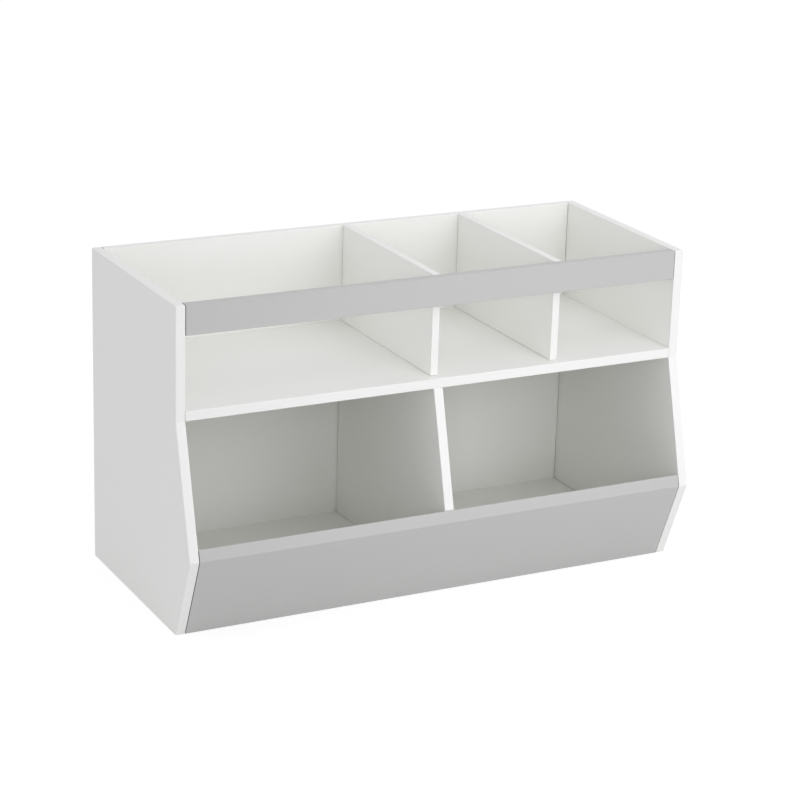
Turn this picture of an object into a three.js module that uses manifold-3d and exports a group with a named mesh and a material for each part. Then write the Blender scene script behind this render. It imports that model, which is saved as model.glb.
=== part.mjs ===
// Two-tier browser bin for picture books: slant-fronted bins below, open-topped trays above.
// Millimetres, +Z up, the front faces -Y. The origin is on the floor, under the middle of the unit.
// Outlines are drawn in (depth from the rear edge, height above the floor) and extruded along the width.
import * as THREE from 'three';
import { mergeVertices } from 'three/addons/utils/BufferGeometryUtils.js';
import Module from 'manifold-3d';

const wasm = await Module();
wasm.setup();

// Overall sizes
const WIDTH = 842;
const HEIGHT = 500;
const BODY_DEPTH = 336;
const NOSE_REACH = 54;
const NOSE_HEIGHT = 132;
const SHELF_UNDERSIDE = 328;
const RAIL_HEIGHT = 45;
const FLOOR_LIFT = 2;

// Board thicknesses
const SIDE_BOARD = 15;
const SHELF_BOARD = 15;
const FLOOR_BOARD = 15;
const BIN_DIVIDER_BOARD = 15;
const RAIL_BOARD = 15;
const TRAY_DIVIDER_BOARD = 12;
const FRONT_BOARD = 12;
const BACK_BOARD = 12;

// Softened corners of the outlines
const NOSE_ROUND = 3;
const KINK_ROUND = 6;
const TOP_ROUND = 2;
const FRONT_LIP_ROUND = 1;

// Clearances
const GREY_END_GAP = 0.9;
const SLANT_GAP = 0.3;
const FIT = 0.3;
const SUNK = 0.3;

// Knock-down fittings: a cam in the board grips the head of a bolt that is screwed into the side
const THICK_CAM = {
  radius: 7.5, reach: 24, head: 3.2, headLength: 4, neck: 1.8, shaft: 3.3, thread: 2.8, grip: 11,
};
const THIN_CAM = {
  radius: 6, reach: 24, head: 2.4, headLength: 3.2, neck: 1.4, shaft: 2.4, thread: 2.4, grip: 11,
};
const CAM_WALL = 1.2;
const CAM_TURN = THREE.MathUtils.degToRad(100);
const CAM_OVERRUN = THREE.MathUtils.degToRad(20);
const DRIVE_LENGTH = 8;
const DRIVE_WIDTH = 1.5;
const DRIVE_DEPTH = 2.5;
const NECK_SPARE = 1;
const THREAD_POINT = 1.5;

// Beech dowels and countersunk screws
const THICK_DOWEL = { radius: 4, into: 10, back: 20 };
const THIN_DOWEL = { radius: 3, into: 9, back: 16 };
const DOWEL_CHAMFER = 1;
const SCREW = { head: 3.8, headHeight: 2.8, shank: 2, length: 40, point: 4 };

// Places of the fittings
const BOARD_CAM_SETBACK = 60;
const BACK_CAM_ABOVE_FLOOR = 90;
const BACK_CAM_BELOW_TOP = 85;
const RAIL_CAM_BELOW_TOP = 14;
const RAIL_DOWEL_ABOVE_EDGE = 10;
const FRONT_CAM_BELOW_NOSE = 48;
const FRONT_DOWEL_UP_SLOPE = 40;
const DIVIDER_SCREW_SETBACK = 70;
const DIVIDER_DOWEL_SETBACK = 50;

// Facets of round forms
const CAM_SIDES = 18;
const POCKET_SIDES = 8;
const HOLE_SIDES = 10;
const ARC_STEPS = 5;

// Worked-out places
const REAR = (BODY_DEPTH + NOSE_REACH) / 2;
const INNER = WIDTH / 2 - SIDE_BOARD;
const FLOOR_TOP = FLOOR_LIFT + FLOOR_BOARD;
const SHELF_TOP = SHELF_UNDERSIDE + SHELF_BOARD;
const RAIL_REAR = BODY_DEPTH - RAIL_BOARD;
const TRAY_DIVIDERS = {
  tray_divider_centre: 0,
  tray_divider_right: (TRAY_DIVIDER_BOARD / 2 + INNER) / 2,
};

function finish(color, roughness, metalness) {
  return new THREE.MeshStandardMaterial({ color, roughness, metalness });
}

const WHITE_PAINT = finish(0xf2f2f0, 0.45, 0);
const GREY_PAINT = finish(0xc4c4c4, 0.5, 0);
const ZINC = finish(0xb4b7ba, 0.4, 1);
const STEEL = finish(0xc9c6ba, 0.35, 1);
const BEECH = finish(0xd8b98c, 0.7, 0);

const unit = new THREE.Group();
const bores = new Map();

// Points, lines and outlines in the depth and height plane
const point = (depth, height) => new THREE.Vector2(depth, height);

const inRoom = (x, depth, height) => new THREE.Vector3(x, REAR - depth, height);

const alongDepth = ({ x, y }) => new THREE.Vector3(0, -x, y);

// Unit vector pointing into the unit from a line that climbs its front.
function inwardOf([low, high]) {
  const run = high.clone().sub(low).normalize();
  return point(-run.y, run.x);
}

function shifted(line, distance) {
  const step = inwardOf(line).multiplyScalar(distance);
  return line.map((end) => end.clone().add(step));
}

function depthAt([low, high], height) {
  return low.x + (high.x - low.x) * (height - low.y) / (high.y - low.y);
}

function crossing(line, [low, high]) {
  const run = high.clone().sub(low);
  const inward = inwardOf(line);
  const share = line[0].clone().sub(low).dot(inward) / run.dot(inward);
  return low.clone().addScaledVector(run, share);
}

// A closed outline through corners given as [point, radius], with each rounded corner as an arc.
function outline(corners) {
  const shape = new THREE.Shape();
  corners.forEach(([corner, radius], i) => {
    const before = corners.at(i - 1)[0].clone().sub(corner).normalize();
    const after = corners[(i + 1) % corners.length][0].clone().sub(corner).normalize();
    if (radius === 0) {
      shape[i === 0 ? 'moveTo' : 'lineTo'](corner.x, corner.y);
      return;
    }
    const half = Math.acos(before.dot(after)) / 2;
    const middle = before.clone().add(after).setLength(radius / Math.sin(half)).add(corner);
    const start = before.multiplyScalar(radius / Math.tan(half)).add(corner).sub(middle);
    const end = after.multiplyScalar(radius / Math.tan(half)).add(corner).sub(middle);
    shape.absarc(middle.x, middle.y, radius, start.angle(), end.angle(), start.cross(end) < 0);
  });
  return shape;
}

function rectangle(depthLow, depthHigh, heightLow, heightHigh) {
  return outline([
    [point(depthLow, heightLow), 0],
    [point(depthHigh, heightLow), 0],
    [point(depthHigh, heightHigh), 0],
    [point(depthLow, heightHigh), 0],
  ]);
}

// Solids and their cuts
function solid(geometry) {
  const bare = geometry.index ? geometry.toNonIndexed() : geometry.clone();
  bare.deleteAttribute('normal');
  bare.deleteAttribute('uv');
  const merged = mergeVertices(bare);
  return new wasm.Manifold(new wasm.Mesh({
    numProp: 3,
    vertProperties: Float32Array.from(merged.attributes.position.array),
    triVerts: Uint32Array.from(merged.index.array),
  }));
}

function geometryOf(body) {
  const mesh = body.getMesh();
  const geometry = new THREE.BufferGeometry();
  geometry.setAttribute('position', new THREE.BufferAttribute(mesh.vertProperties, 3));
  geometry.setIndex(new THREE.BufferAttribute(mesh.triVerts, 1));
  const faceted = geometry.toNonIndexed();
  faceted.computeVertexNormals();
  return faceted;
}

function addPiece(name, geometry, material, place = new THREE.Matrix4()) {
  const mesh = new THREE.Mesh(geometry, material);
  mesh.name = name;
  mesh.applyMatrix4(place);
  unit.add(mesh);
}

function bore(boards, geometry, place) {
  const cutter = solid(geometry.clone().applyMatrix4(place));
  for (const board of boards) {
    bores.set(board, [...(bores.get(board) ?? []), cutter]);
  }
}

// A place whose own Z runs along the axis, and whose own X points toward the given direction.
function seat(origin, axis, toward) {
  const z = axis.clone().normalize();
  const guide = toward ?? (Math.abs(z.x) > 0.5 ? new THREE.Vector3(0, 0, 1) : new THREE.Vector3(1, 0, 0));
  const y = z.clone().cross(guide).normalize();
  return new THREE.Matrix4().makeBasis(y.clone().cross(z), y, z).setPosition(origin);
}

// A turned form from (radius, position along the axis) pairs that start and end on the axis.
function turned(profile, sides) {
  const lathe = new THREE.LatheGeometry(profile.map(([radius, along]) => point(radius, along)), sides);
  return lathe.rotateX(Math.PI / 2);
}

// A plain round rod from one place on its axis to another.
function rod(radius, from, to, sides) {
  return turned([[0, from], [radius, from], [radius, to], [0, to]], sides);
}

function board(name, shape, xLow, xHigh, material) {
  const settings = { depth: xHigh - xLow, bevelEnabled: false, curveSegments: ARC_STEPS };
  const geometry = new THREE.ExtrudeGeometry(shape, settings);
  const toRoom = new THREE.Matrix4().makeBasis(
    new THREE.Vector3(0, -1, 0),
    new THREE.Vector3(0, 0, 1),
    new THREE.Vector3(-1, 0, 0),
  ).setPosition(xHigh, REAR, 0);
  const blank = solid(geometry.applyMatrix4(toRoom));
  const cuts = bores.get(name) ?? [];
  addPiece(name, geometryOf(cuts.reduce((body, cut) => body.subtract(cut), blank)), material);
}

// The slants of the front: up and out to the nose, then back to the front edge of the shelf
const nose = point(BODY_DEPTH + NOSE_REACH, NOSE_HEIGHT);
const lowerSlant = [point(BODY_DEPTH, 0), nose];
const upperSlant = [nose, point(BODY_DEPTH, SHELF_UNDERSIDE)];
const frontRear = shifted(lowerSlant, FRONT_BOARD);
const behindFront = shifted(lowerSlant, FRONT_BOARD + SLANT_GAP);

const sideOutline = outline([
  [point(0, 0), 0],
  [point(BODY_DEPTH, 0), 0],
  [nose, NOSE_ROUND],
  [point(BODY_DEPTH, SHELF_UNDERSIDE), KINK_ROUND],
  [point(BODY_DEPTH, HEIGHT), TOP_ROUND],
  [point(0, HEIGHT), 0],
]);

// The front board's top edge is cut in the plane of the upper slant, so the nose line runs on across it.
const frontOutline = outline([
  [point(depthAt(frontRear, 0), 0), 0],
  [point(BODY_DEPTH, 0), 0],
  [nose, NOSE_ROUND],
  [crossing(upperSlant, frontRear), FRONT_LIP_ROUND],
]);

const floorOutline = outline([
  [point(BACK_BOARD, FLOOR_LIFT), 0],
  [point(depthAt(behindFront, FLOOR_LIFT), FLOOR_LIFT), 0],
  [point(depthAt(behindFront, FLOOR_TOP), FLOOR_TOP), 0],
  [point(BACK_BOARD, FLOOR_TOP), 0],
]);

const binDividerOutline = outline([
  [point(BACK_BOARD, FLOOR_TOP), 0],
  [point(depthAt(behindFront, FLOOR_TOP), FLOOR_TOP), 0],
  [crossing(upperSlant, behindFront), 0],
  [point(BODY_DEPTH, SHELF_UNDERSIDE), 0],
  [point(BACK_BOARD, SHELF_UNDERSIDE), 0],
]);

// Cam: a disc with a cross drive on its open face, a mouth for the bolt's head and a groove for its neck
function camGeometry(cam, depth, axisBelowFace) {
  const slotHeight = 2 * (cam.neck + FIT);
  const pocket = cam.head + FIT;
  const pocketEnd = cam.headLength / 2 + FIT;
  const sector = new THREE.Shape();
  sector.moveTo(0, 0);
  sector.absarc(0, 0, cam.radius + FIT, -CAM_TURN, CAM_OVERRUN, false);
  const groove = new THREE.ExtrudeGeometry(sector, {
    depth: slotHeight, bevelEnabled: false, curveSegments: ARC_STEPS,
  }).translate(0, 0, -axisBelowFace - slotHeight / 2);
  const atHead = inPlaneSeat(0, axisBelowFace);
  const atMouth = inPlaneSeat(-CAM_TURN, axisBelowFace);
  const drives = [
    new THREE.BoxGeometry(DRIVE_LENGTH, DRIVE_WIDTH, 2 * DRIVE_DEPTH),
    new THREE.BoxGeometry(DRIVE_WIDTH, DRIVE_LENGTH, 2 * DRIVE_DEPTH),
  ];
  const cuts = [
    rod(pocket, -pocketEnd, pocketEnd, POCKET_SIDES).applyMatrix4(atHead),
    rod(pocket, 0, cam.radius + FIT, POCKET_SIDES).applyMatrix4(atMouth),
    rod(slotHeight / 2, 0, cam.radius + FIT, POCKET_SIDES).applyMatrix4(atHead),
    groove,
    ...drives,
  ];
  const disc = solid(rod(cam.radius, -depth, 0, CAM_SIDES));
  return geometryOf(cuts.reduce((body, cut) => body.subtract(solid(cut)), disc));
}

// A seat in the plane of the bolt, below the cam's face, whose axis points out of the cam at an angle.
function inPlaneSeat(angle, axisBelowFace) {
  const outward = new THREE.Vector3(Math.cos(angle), Math.sin(angle), 0);
  return seat(new THREE.Vector3(0, 0, -axisBelowFace), outward);
}

// Bolt: head in the cam, neck through its groove, shaft along the board and thread in the side
function boltGeometry(cam) {
  const headLow = -cam.reach - cam.headLength / 2;
  const headHigh = headLow + cam.headLength;
  const neckEnd = -cam.reach + cam.radius + NECK_SPARE;
  const tip = cam.grip - FIT;
  return turned([
    [0, headLow],
    [cam.head, headLow],
    [cam.head, headHigh],
    [cam.neck, headHigh],
    [cam.neck, neckEnd],
    [cam.shaft, neckEnd],
    [cam.shaft, 0],
    [cam.thread, 0],
    [cam.thread, tip - THREAD_POINT],
    [cam.thread - THREAD_POINT, tip],
    [0, tip],
  ], HOLE_SIDES);
}

// A cam joint at the end of a board: the end point lies on the bolt's axis, and face points out of the cam.
function camJoint(name, boardName, sideName, end, outward, face, boardThickness, cam) {
  const axisBelowFace = boardThickness / 2 - SUNK;
  const depth = axisBelowFace + cam.head + FIT + CAM_WALL;
  const centre = end.clone().addScaledVector(outward, -cam.reach);
  const camSeat = seat(centre.addScaledVector(face, axisBelowFace), face, outward);
  const boltSeat = seat(end, outward);
  bore([boardName], rod(cam.radius + FIT, -depth - FIT, SUNK + FIT, CAM_SIDES), camSeat);
  bore([boardName], rod(cam.shaft + FIT, -cam.reach, FIT, HOLE_SIDES), boltSeat);
  bore([sideName], rod(cam.thread + FIT, -FIT, cam.grip, HOLE_SIDES), boltSeat);
  addPiece(`cam_${name}`, camGeometry(cam, depth, axisBelowFace), ZINC, camSeat);
  addPiece(`bolt_${name}`, boltGeometry(cam), STEEL, boltSeat);
}

// A dowel across the joint at a point, pressed into one board along the axis and back into the other.
function dowelJoint(name, boards, joint, axis, dowel) {
  const place = seat(joint, axis);
  const { radius, into, back } = dowel;
  bore(boards, rod(radius + FIT, -back - FIT, into + FIT, HOLE_SIDES), place);
  const body = turned([
    [0, -back],
    [radius - DOWEL_CHAMFER, -back],
    [radius, -back + DOWEL_CHAMFER],
    [radius, into - DOWEL_CHAMFER],
    [radius - DOWEL_CHAMFER, into],
    [0, into],
  ], HOLE_SIDES);
  addPiece(`dowel_${name}`, body, BEECH, place);
}

// A countersunk screw along its own Z, with spare room round it when it is used as a cutter.
function screwGeometry(spare) {
  return turned([
    [0, -spare],
    [SCREW.head + spare, -spare],
    [SCREW.shank + spare, SCREW.headHeight],
    [SCREW.shank + spare, SCREW.length - SCREW.point],
    [0, SCREW.length + 2 * spare],
  ], HOLE_SIDES);
}

// A screw from a point on an outer face, along the axis, through one board into the next.
function screwJoint(name, boards, face, axis) {
  const place = seat(face.clone().addScaledVector(axis, SUNK), axis);
  bore(boards, screwGeometry(FIT), place);
  addPiece(`screw_${name}`, screwGeometry(0), STEEL, place);
}

// Joints between the boards and the two sides
const up = new THREE.Vector3(0, 0, 1);
const down = up.clone().negate();
const rearward = new THREE.Vector3(0, 1, 0);
const forward = rearward.clone().negate();
const intoUnit = alongDepth(inwardOf(lowerSlant));
const midFront = shifted(lowerSlant, FRONT_BOARD / 2);

function upFrontSlope(distance) {
  const [low, high] = midFront;
  return low.clone().add(high.clone().sub(low).setLength(distance));
}

for (const [hand, sign] of [['left', -1], ['right', 1]]) {
  const side = `side_${hand}`;
  const outward = new THREE.Vector3(sign, 0, 0);
  const greyEnd = sign * (INNER - GREY_END_GAP);

  for (const [name, underside, thickness] of [
    ['floor_board', FLOOR_LIFT, FLOOR_BOARD],
    ['shelf_board', SHELF_UNDERSIDE, SHELF_BOARD],
  ]) {
    const middle = underside + thickness / 2;
    const depths = [BACK_BOARD + BOARD_CAM_SETBACK, BODY_DEPTH - BOARD_CAM_SETBACK];
    const stem = name.replace('_board', '');
    for (const [row, depth] of [['rear', depths[0]], ['front', depths[1]]]) {
      const end = inRoom(sign * INNER, depth, middle);
      camJoint(`${stem}_${hand}_${row}`, name, side, end, outward, down, thickness, THICK_CAM);
    }
    const centre = inRoom(sign * INNER, (depths[0] + depths[1]) / 2, middle);
    dowelJoint(`${stem}_${hand}`, [name, side], centre, outward, THICK_DOWEL);
  }

  const railMiddle = BODY_DEPTH - RAIL_BOARD / 2;
  const railCam = inRoom(greyEnd, railMiddle, HEIGHT - RAIL_CAM_BELOW_TOP);
  const railDowel = inRoom(greyEnd, railMiddle, HEIGHT - RAIL_HEIGHT + RAIL_DOWEL_ABOVE_EDGE);
  camJoint(`rail_${hand}`, 'top_rail', side, railCam, outward, rearward, RAIL_BOARD, THICK_CAM);
  dowelJoint(`rail_${hand}`, ['top_rail', side], railDowel, outward, THICK_DOWEL);

  const frontCam = upFrontSlope(nose.distanceTo(lowerSlant[0]) - FRONT_CAM_BELOW_NOSE);
  const frontDowel = upFrontSlope(FRONT_DOWEL_UP_SLOPE);
  const frontCamEnd = inRoom(greyEnd, frontCam.x, frontCam.y);
  const frontDowelEnd = inRoom(greyEnd, frontDowel.x, frontDowel.y);
  camJoint(`front_${hand}`, 'front_panel', side, frontCamEnd, outward, intoUnit, FRONT_BOARD, THIN_CAM);
  dowelJoint(`front_${hand}`, ['front_panel', side], frontDowelEnd, outward, THIN_DOWEL);

  for (const [row, height] of [['lower', BACK_CAM_ABOVE_FLOOR], ['upper', HEIGHT - BACK_CAM_BELOW_TOP]]) {
    const end = inRoom(sign * INNER, BACK_BOARD / 2, height);
    camJoint(`back_${hand}_${row}`, 'back_panel', side, end, outward, rearward, BACK_BOARD, THIN_CAM);
  }
}

// Joints of the dividers, and the screws that tie the back to the shelf
for (const [row, setback] of [['rear', 1], ['front', -1]]) {
  const fromEdge = row === 'rear' ? BACK_BOARD : BODY_DEPTH;
  const screwHead = inRoom(0, fromEdge + setback * DIVIDER_SCREW_SETBACK, FLOOR_LIFT);
  const dowelAt = inRoom(0, fromEdge + setback * DIVIDER_DOWEL_SETBACK, SHELF_UNDERSIDE);
  screwJoint(`bin_divider_${row}`, ['floor_board', 'bin_divider'], screwHead, up);
  dowelJoint(`bin_divider_${row}`, ['shelf_board', 'bin_divider'], dowelAt, up, THICK_DOWEL);
}
for (const [name, x] of Object.entries(TRAY_DIVIDERS)) {
  const railJoint = inRoom(x, RAIL_REAR, HEIGHT - RAIL_HEIGHT / 2);
  screwJoint(name, ['back_panel', name], inRoom(x, 0, (SHELF_TOP + HEIGHT) / 2), forward);
  dowelJoint(name, ['top_rail', name], railJoint, forward, THIN_DOWEL);
}
for (const [hand, sign] of [['left', -1], ['right', 1]]) {
  const head = inRoom(sign * INNER / 2, 0, SHELF_UNDERSIDE + SHELF_BOARD / 2);
  screwJoint(`shelf_${hand}`, ['back_panel', 'shelf_board'], head, forward);
}

// The boards
const shelfOutline = rectangle(BACK_BOARD, BODY_DEPTH, SHELF_UNDERSIDE, SHELF_TOP);
const trayDividerOutline = rectangle(BACK_BOARD, RAIL_REAR, SHELF_TOP, HEIGHT);
const railOutline = rectangle(RAIL_REAR, BODY_DEPTH, HEIGHT - RAIL_HEIGHT, HEIGHT);
const greyHalf = INNER - GREY_END_GAP;
board('side_left', sideOutline, -WIDTH / 2, -INNER, WHITE_PAINT);
board('side_right', sideOutline, INNER, WIDTH / 2, WHITE_PAINT);
board('back_panel', rectangle(0, BACK_BOARD, 0, HEIGHT), -INNER, INNER, WHITE_PAINT);
board('floor_board', floorOutline, -INNER, INNER, WHITE_PAINT);
board('shelf_board', shelfOutline, -INNER, INNER, WHITE_PAINT);
board('bin_divider', binDividerOutline, -BIN_DIVIDER_BOARD / 2, BIN_DIVIDER_BOARD / 2, WHITE_PAINT);
for (const [name, x] of Object.entries(TRAY_DIVIDERS)) {
  board(name, trayDividerOutline, x - TRAY_DIVIDER_BOARD / 2, x + TRAY_DIVIDER_BOARD / 2, WHITE_PAINT);
}
board('top_rail', railOutline, -greyHalf, greyHalf, GREY_PAINT);
board('front_panel', frontOutline, -greyHalf, greyHalf, GREY_PAINT);

export default unit;
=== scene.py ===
"""Looks of the two-tier browser bin: painted boards with eased edges, their fittings and a plain studio.

Metres, +Z up, the front faces -Y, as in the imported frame.
"""

import logging
import math
from abc import ABC, abstractmethod
from collections.abc import Iterable, Mapping, Sequence
from dataclasses import dataclass, field
from enum import Enum

import bmesh
import bpy
from mathutils import Matrix, Vector

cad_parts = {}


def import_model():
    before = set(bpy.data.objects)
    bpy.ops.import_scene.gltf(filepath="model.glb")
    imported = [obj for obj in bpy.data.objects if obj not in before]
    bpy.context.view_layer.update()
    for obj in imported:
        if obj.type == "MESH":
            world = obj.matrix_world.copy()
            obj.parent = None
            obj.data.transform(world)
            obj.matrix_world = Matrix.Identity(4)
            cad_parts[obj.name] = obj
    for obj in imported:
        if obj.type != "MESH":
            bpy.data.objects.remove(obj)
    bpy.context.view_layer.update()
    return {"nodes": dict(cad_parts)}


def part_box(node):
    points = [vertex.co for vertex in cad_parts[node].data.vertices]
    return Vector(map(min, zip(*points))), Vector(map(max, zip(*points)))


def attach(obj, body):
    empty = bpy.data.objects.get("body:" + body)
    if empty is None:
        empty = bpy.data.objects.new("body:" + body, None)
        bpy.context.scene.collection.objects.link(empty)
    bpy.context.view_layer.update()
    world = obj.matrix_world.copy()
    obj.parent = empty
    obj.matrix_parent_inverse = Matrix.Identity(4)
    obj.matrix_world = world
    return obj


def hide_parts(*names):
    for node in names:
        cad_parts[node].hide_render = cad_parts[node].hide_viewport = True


LOG = logging.getLogger("browser_bin")
BODY = "root"
MILLIMETRE = 0.001
SHARP_ANGLE = math.radians(35)
SAME_WAY = math.cos(math.radians(8))
BARE = "bare"
PAINT_SLOT = 0
BARE_SLOT = 1
UP = Vector((0, 0, 1))
REARWARD = Vector((0, 1, 0))
RIGHTWARD = Vector((1, 0, 0))
ENDS = (RIGHTWARD, -RIGHTWARD)

Colour = tuple[float, float, float]
Triple = tuple[float, float, float]


# Node writing


class Value:
    """A node socket that Python arithmetic can be written with."""

    def __init__(self, writer: "NodeWriter", socket: bpy.types.NodeSocket | None) -> None:
        """Keeps the socket and the writer of the tree that it belongs to."""
        self.writer = writer
        self.socket = socket

    def _join(self, operation: str, other: "Value | float") -> "Value":
        """Adds one Math node for an operation on this value and another."""
        return self.writer.node("ShaderNodeMath", {"operation": operation}, {0: self, 1: other})

    def __add__(self, other: "Value | float") -> "Value":
        """Sum of two values."""
        return self._join("ADD", other)

    __radd__ = __add__

    def __sub__(self, other: "Value | float") -> "Value":
        """This value less another."""
        return self._join("SUBTRACT", other)

    def __mul__(self, other: "Value | float") -> "Value":
        """Product of two values."""
        return self._join("MULTIPLY", other)

    def at_least(self, other: "Value | float") -> "Value":
        """The larger of two values."""
        return self._join("MAXIMUM", other)

    def swing(self, spread: float) -> "Value":
        """A noise, which lies about a half, moved to zero and set to a spread."""
        return (self - 0.5) * spread


class NodeWriter:
    """A node tree that is written by calls."""

    def __init__(self, tree: bpy.types.NodeTree) -> None:
        """Empties the tree."""
        self.tree = tree
        tree.nodes.clear()

    def node(
        self,
        kind: str,
        settings: Mapping[str, object] | None = None,
        inputs: Mapping[str | int, object] | None = None,
        output: str | int = 0,
    ) -> Value:
        """Adds any node.

        Args:
            kind: Blender's type name of the node.
            settings: properties that are set before the sockets.
            inputs: socket name or number to a Value or a list of them, to link, or to a plain value.
            output: the output socket that is handed back.

        Returns:
            The chosen output socket.
        """
        made = self.tree.nodes.new(kind)
        for name, setting in (settings or {}).items():
            setattr(made, name, setting)
        for name, given in (inputs or {}).items():
            links = given if isinstance(given, list) else [given]
            for one in links:
                if isinstance(one, Value):
                    self.tree.links.new(one.socket, made.inputs[name])
                else:
                    made.inputs[name].default_value = one
        return Value(self, made.outputs[output] if made.outputs else None)


@dataclass(frozen=True)
class Grain:
    """A noise: the size of its largest spots, how many finer layers it has and how strong these are."""

    size: float
    detail: float = 2.0
    roughness: float = 0.5


class Shader(NodeWriter):
    """The nodes of a material or of the world.

    A Mix node has several sockets of one name, so those for colours go by their numbers.
    """

    MIX_SHARE = 0
    MIX_FIRST = 6
    MIX_SECOND = 7
    MIX_RESULT = 2

    def object_place(self) -> Value:
        """The point on the surface, in the frame that all pieces share."""
        return self.node("ShaderNodeTexCoord", None, None, "Object")

    def noise(self, at: Value, grain: Grain) -> Value:
        """A noise value about a half.

        Args:
            at: the coordinates.
            grain: the noise's size and layers.

        Returns:
            The noise.
        """
        inputs = {"Vector": at, "Scale": 1 / grain.size}
        inputs |= {"Detail": grain.detail, "Roughness": grain.roughness}
        return self.node("ShaderNodeTexNoise", None, inputs, "Fac")

    def blend(self, share: Value, first: Value | Colour, second: Value | Colour) -> Value:
        """Mixes two colours.

        Args:
            share: 0 for the first colour, 1 for the second.
            first: a colour or a socket that gives one.
            second: the other.

        Returns:
            The mixed colour.
        """
        ends = [end if isinstance(end, Value) else (*end, 1.0) for end in (first, second)]
        inputs = {self.MIX_SHARE: share, self.MIX_FIRST: ends[0], self.MIX_SECOND: ends[1]}
        return self.node("ShaderNodeMix", {"data_type": "RGBA"}, inputs, self.MIX_RESULT)

    def bump(self, height: Value) -> Value:
        """A normal that follows a height in metres."""
        inputs = {"Strength": 1.0, "Distance": 1.0, "Height": height}
        return self.node("ShaderNodeBump", None, inputs, "Normal")

    def surface(self, inputs: Mapping[str, object]) -> None:
        """Ends a material in one Principled surface."""
        shaded = self.node("ShaderNodeBsdfPrincipled", None, inputs)
        self.node("ShaderNodeOutputMaterial", None, {"Surface": shaded})


class Join(Enum):
    """What a boolean node makes of the bodies that it takes."""

    UNION = "UNION"
    INTERSECT = "INTERSECT"
    DIFFERENCE = "DIFFERENCE"


@dataclass(frozen=True)
class CrossDrive:
    """The cross slot that a screwdriver turns a fitting by."""

    length: float
    width: float
    depth: float

    def inputs(self) -> dict[str, float]:
        """The slot's sizes as inputs of a tree."""
        return {"Drive length": self.length, "Drive width": self.width, "Drive depth": self.depth}


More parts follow.
